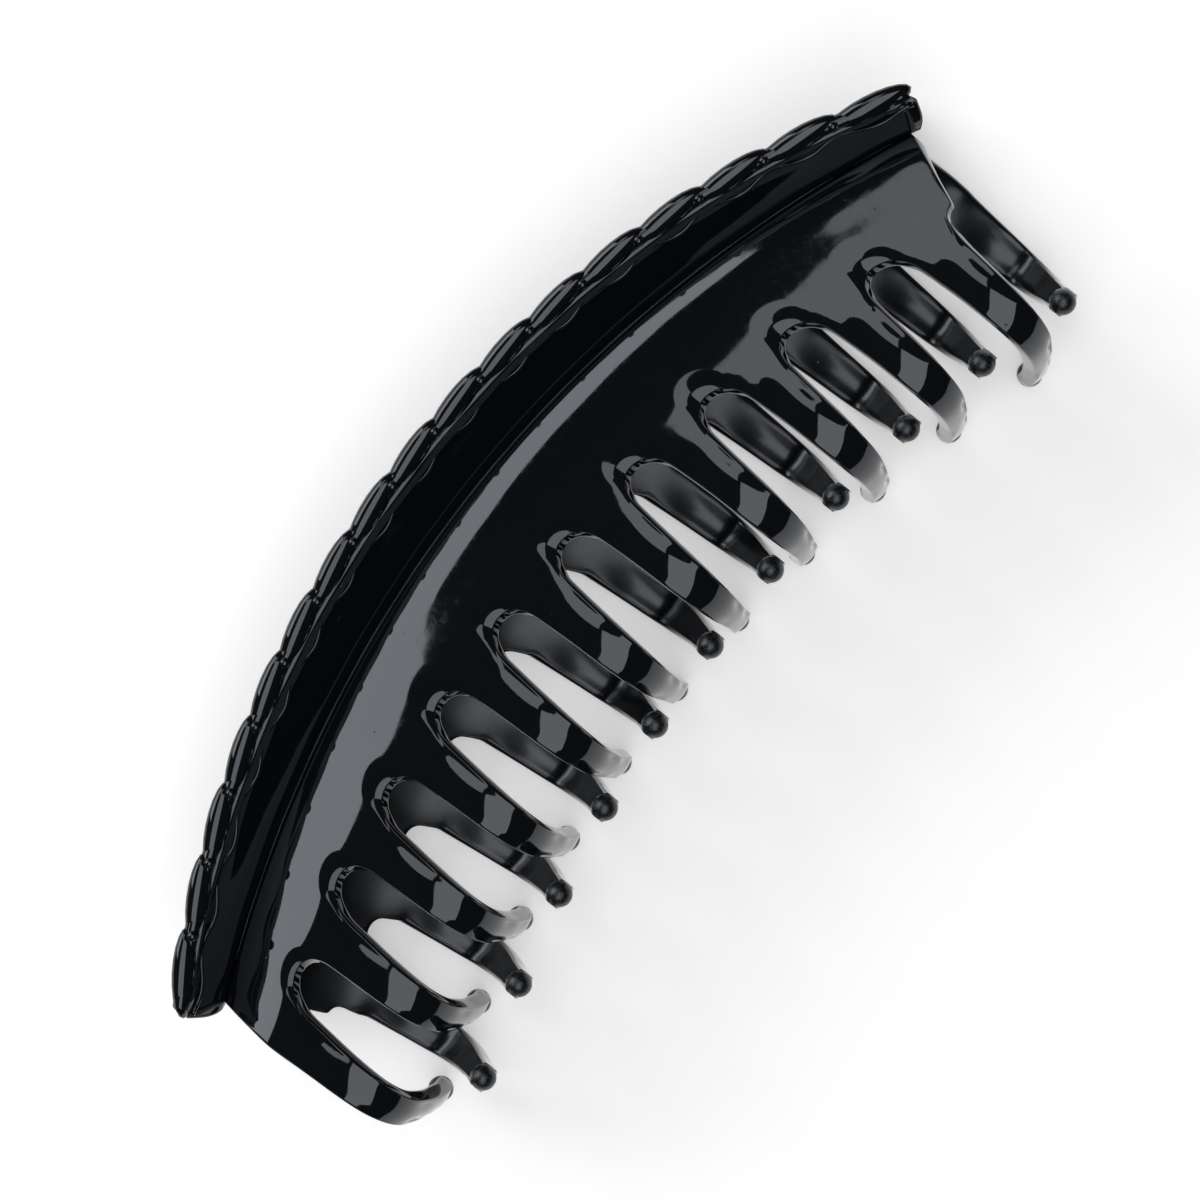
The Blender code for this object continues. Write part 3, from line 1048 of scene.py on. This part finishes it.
    def balls(self) -> bpy.types.Object:
        """Set a ball at the end of each tooth.

        Returns:
            The balls in the jaw's measures.
        """
        mesh = bmesh.new()
        form = self.form
        run = self.end - form.tip_radius
        for tooth in range(form.tooth_count):
            point, inward = self.curve_at(run)
            w, v = point + inward * (self.depth(run) / 2)
            x = self.tooth_x(tooth)
            middle = (x - self.tooth_lean(run, tooth), v - self.tooth_drop(run, x), w)
            made = bmesh.ops.create_uvsphere(mesh, u_segments=24, v_segments=16, radius=form.tip_radius)["verts"]
            bmesh.ops.translate(mesh, verts=made, vec=middle)
        return new_object("balls", mesh)

    def ears(self) -> list[bpy.types.Object]:
        """Make the two hinge ears, each a bored eye on a foot.

        Returns:
            The ears in the jaw's measures.
        """
        form = self.ear_form
        starts = (-(form.inner_start + form.width), form.inner_start + form.width + form.gap)
        return [self.ear(start) for start in starts]

    def ear(self, start: float) -> bpy.types.Object:
        """Make one hinge ear.

        Args:
            start: Its low end along the clip.

        Returns:
            The ear in the jaw's measures.
        """
        form = self.ear_form
        mesh = bmesh.new()
        eye = []
        for step in range(form.sides // 2 + 1):
            angle = math.pi * (1.0 + step / (form.sides // 2)) + math.radians(form.turn)
            eye.append((0.0, self.form.hinge_v + form.radius * math.cos(angle), form.radius * math.sin(angle)))
        outline = [mesh.verts.new(point) for point in eye + [(0.0, v, w) for v, w in form.foot]]
        hole = []
        for step in range(form.sides):
            angle = 2 * math.pi * step / form.sides
            hole.append(mesh.verts.new((0.0, self.form.hinge_v + form.bore * math.cos(angle),
                                        form.bore * math.sin(angle))))
        edges = [mesh.edges.new((ring[k - 1], ring[k])) for ring in (outline, hole) for k in range(len(ring))]
        filled = bmesh.ops.triangle_fill(mesh, edges=edges, use_beauty=True)
        faces = [item for item in filled["geom"] if isinstance(item, bmesh.types.BMFace)]
        middle = Vector((0.0, self.form.hinge_v, 0.0))
        inside = [face for face in faces if all((vert.co - middle).length < form.bore * 1.01 for vert in face.verts)]
        bmesh.ops.delete(mesh, geom=inside, context="FACES")
        grown = bmesh.ops.extrude_face_region(mesh, geom=list(mesh.faces))
        moved = [item for item in grown["geom"] if isinstance(item, bmesh.types.BMVert)]
        bmesh.ops.translate(mesh, verts=moved, vec=(form.width, 0.0, 0.0))
        bmesh.ops.translate(mesh, verts=mesh.verts, vec=(start, 0.0, 0.0))
        item = new_object("ear", mesh)
        item.data.set_sharp_from_angle(angle=math.radians(form.sharp_angle))
        return item

    def join(self, wall: bpy.types.Object, parts: list[bpy.types.Object]) -> bpy.types.Object:
        """Put the jaw's parts into one mesh with its finishes.

        Args:
            wall: The wall with the teeth.
            parts: The rope, the ball tips and the ears.

        Returns:
            The jaw's object.
        """
        mesh = bmesh.new()
        for part in (wall, *parts):
            before = len(mesh.faces)
            mesh.from_mesh(part.data)
            mesh.faces.ensure_lookup_table()
            if part.name.startswith("balls"):
                for face in mesh.faces[before:]:
                    face.material_index = Finish.TIP.value
        name = f"{self.side.value}_jaw_detail"
        data = bpy.data.meshes.new(name)
        mesh.to_mesh(data)
        mesh.free()
        for finish in Finish:
            data.materials.append(self.finishes[finish])
        for part in (wall, *parts):
            bpy.data.objects.remove(part, do_unlink=True)
        return add_object(name, data)


@dataclass
class HingePin:
    """The steel pin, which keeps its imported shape."""

    node: str = "hinge_pin"

    def dress(self) -> None:
        """Give the pin its steel."""
        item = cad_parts[self.node]
        item.data.materials.clear()
        item.data.materials.append(DrawnSteel("pin_steel").make())
        LOG.info("%s dressed", self.node)


@dataclass
class CoilSpring:
    """Steel wire spring round the pin, with one leg along the inside of each wing, in millimetres."""

    hinge: Vector
    node: str = "torsion_spring"
    wire_radius: float = 0.45
    coil_radius: float = 1.75
    turns: int = 9
    half_length: float = 6.3
    leg_length: float = 8.0
    leg_angle: float = 49.0
    turn_steps: int = 24
    leg_steps: int = 12
    sides: int = 12
    tip_round: float = 0.2
    tip_shares: tuple[float, float] = (0.6, 0.88)
    leg_share: float = 0.94

    def build(self) -> bpy.types.Object:
        """Build the spring, which winds up across the joint.

        Returns:
            The finished object: one leg follows each jaw and the coil turns smoothly between them.
        """
        item = new_object(f"{self.node}_detail", self.wire())
        item.data.transform(Matrix.Translation(self.hinge))
        item.data.materials.append(DrawnSteel("wire_steel", stretch=(2600.0, 700.0, 700.0)).make())
        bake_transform(item)
        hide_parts(self.node)
        LOG.info("%s built with %d faces", item.name, len(item.data.polygons))
        return item

    def path(self) -> list[Vector]:
        """Lay out the lower leg, the coil and the upper leg.

        Returns:
            Points of the wire's middle line, round the hinge.
        """
        angle = math.radians(self.leg_angle)
        spare = math.pi / 2 - angle
        first, last = -math.pi / 2 - spare, -math.pi / 2 + spare + 2 * math.pi * self.turns
        coil = []
        for share in np.linspace(0.0, 1.0, self.turns * self.turn_steps + 1):
            turn = first + (last - first) * share
            coil.append(Vector((self.half_length * (2 * share - 1), self.coil_radius * math.sin(turn),
                                self.coil_radius * math.cos(turn))))
        far, high = self.leg_length * math.sin(angle), self.leg_length * math.cos(angle)
        runs = [1.0, 1.0 - 0.3 * self.tip_round / self.leg_length, 1.0 - self.tip_round / self.leg_length]
        runs += list(np.linspace(self.leg_share, 0.0, self.leg_steps, endpoint=False))
        lower = [coil[0] + Vector((0.0, far, -high)) * run for run in runs]
        upper = [coil[-1] + Vector((0.0, far, high)) * run for run in reversed(runs)]
        return lower + coil + upper

    def wire(self) -> bmesh.types.BMesh:
        """Round wire along the middle line, with softened ends.

        Returns:
            The bmesh in millimetres, round the hinge.
        """
        path = self.path()
        last = len(path) - 1
        radii = [self.wire_radius] * len(path)
        for index, share in enumerate(self.tip_shares):
            radii[index] = radii[last - index] = self.wire_radius * share

        def place(share: float, angle: float) -> Vector:
            """Point of the wire at a share of its points and an angle round it."""
            index = round((share + 0.5) * last)
            ahead = (path[min(index + 1, last)] - path[max(index - 1, 0)]).normalized()
            side = (Vector((1.0, 0.0, 0.0)) - ahead * ahead.x).normalized()
            return path[index] + (side * math.cos(angle) + ahead.cross(side) * math.sin(angle)) * radii[index]

        mesh = bmesh.new()
        add_tube(mesh, last, self.sides, place)
        return mesh


@dataclass(frozen=True)
class Lamp:
    """One soft box: the way to it from the clip, how its long edge lies, its size and its glow."""

    name: str
    way: tuple[float, float, float]
    edge: tuple[float, float, float]
    size: tuple[float, float]
    glow: float
    distance: float = 3.0

    def hang(self) -> None:
        """Add the soft box to the scene."""
        data = bpy.data.lights.new(self.name, "AREA")
        data.shape = "RECTANGLE"
        data.size, data.size_y = self.size
        data.energy = self.glow * math.pi * self.size[0] * self.size[1]
        back = Vector(self.way).normalized()
        across = Vector(self.edge).cross(back).normalized()
        item = add_object(self.name, data)
        item.location = back * self.distance
        item.rotation_euler = Matrix((across, back.cross(across), back)).transposed().to_euler()


@dataclass
class Studio:
    """Pale floor, soft boxes and the camera at the photograph's angle."""

    lens: float = 125.39
    camera_place: tuple[float, float, float] = (33.42, -12.80, 517.67)
    camera_turn: tuple[float, float, float] = (-2.267, 3.356, -52.069)
    floor_half: float = 2.5
    floor_glow: float = 0.35
    floor_tint: Tint = (0.93, 0.93, 0.93)
    floor_rough: float = 0.9
    air_strength: float = 0.03
    lamps: tuple[Lamp, ...] = (
        Lamp("handle_side_box", (-0.155, 0.865, 0.477), (-0.09, 0.0, 0.996), (2.5, 1.78), 3.7),
        Lamp("overhead_box", (-0.14, -0.17, 0.97), (0.94, 0.34, 0.0), (2.2, 3.3), 2.4),
        Lamp("overhead_end_box", (0.25, 0.492, 0.834), (0.94, 0.34, 0.0), (0.9, 0.85), 2.2),
    )

    def build(self) -> None:
        """Add the floor, the light and the camera."""
        self.floor()
        for lamp in self.lamps:
            lamp.hang()
        self.air()
        self.camera()

    def floor(self) -> None:
        """Plain pale floor that the clip lies on."""
        mesh = bmesh.new()
        bmesh.ops.create_grid(mesh, x_segments=1, y_segments=1, size=self.floor_half)
        data = bpy.data.meshes.new("floor")
        mesh.to_mesh(data)
        mesh.free()
        nodes = NodeMaker.start("floor_paper")
        shader = nodes.shader()
        shader.inputs["Base Color"].default_value = (*self.floor_tint, 1.0)
        shader.inputs["Roughness"].default_value = self.floor_rough
        shader.inputs["Specular IOR Level"].default_value = 0.1
        shader.inputs["Emission Color"].default_value = (1.0, 1.0, 1.0, 1.0)
        shader.inputs["Emission Strength"].default_value = self.floor_glow
        data.materials.append(nodes.material)
        add_object("floor", data)

    def air(self) -> None:
        """Dim even light from all round."""
        world = bpy.data.worlds.new("studio_air")
        world.use_nodes = True
        back = world.node_tree.nodes["Background"]
        back.inputs["Color"].default_value = (1.0, 1.0, 1.0, 1.0)
        back.inputs["Strength"].default_value = self.air_strength
        bpy.context.scene.world = world

    def camera(self) -> None:
        """Camera where the photograph was taken from."""
        data = bpy.data.cameras.new("camera")
        data.lens = self.lens
        data.sensor_width = 36.0
        data.clip_end = 10.0
        item = add_object("camera", data)
        item.location = [value * MM for value in self.camera_place]
        item.rotation_euler = Euler([math.radians(value) for value in self.camera_turn])
        bpy.context.scene.camera = item
        bpy.context.scene.view_settings.view_transform = "Standard"


def hinge_point() -> Vector:
    """Middle of the hinge pin, in metres."""
    low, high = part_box("hinge_pin")
    return (Vector(low) + Vector(high)) / 2


def main() -> None:
    """Build the clip and the studio."""
    logging.basicConfig(level=logging.INFO, format="%(message)s")
    hinge = hinge_point()
    finishes = {
        Finish.OUTER: GlossPlastic().make(),
        Finish.TIP: TipPlastic().make(),
        Finish.INNER: GlossPlastic("inner_plastic", smooth=0.2, worn=0.24).make(),
    }
    for side in Side:
        Jaw(side, hinge, finishes).build()
    HingePin().dress()
    CoilSpring(hinge).build()
    Studio().build()
    LOG.info("studio built")


if __name__ == "__main__":
    main()
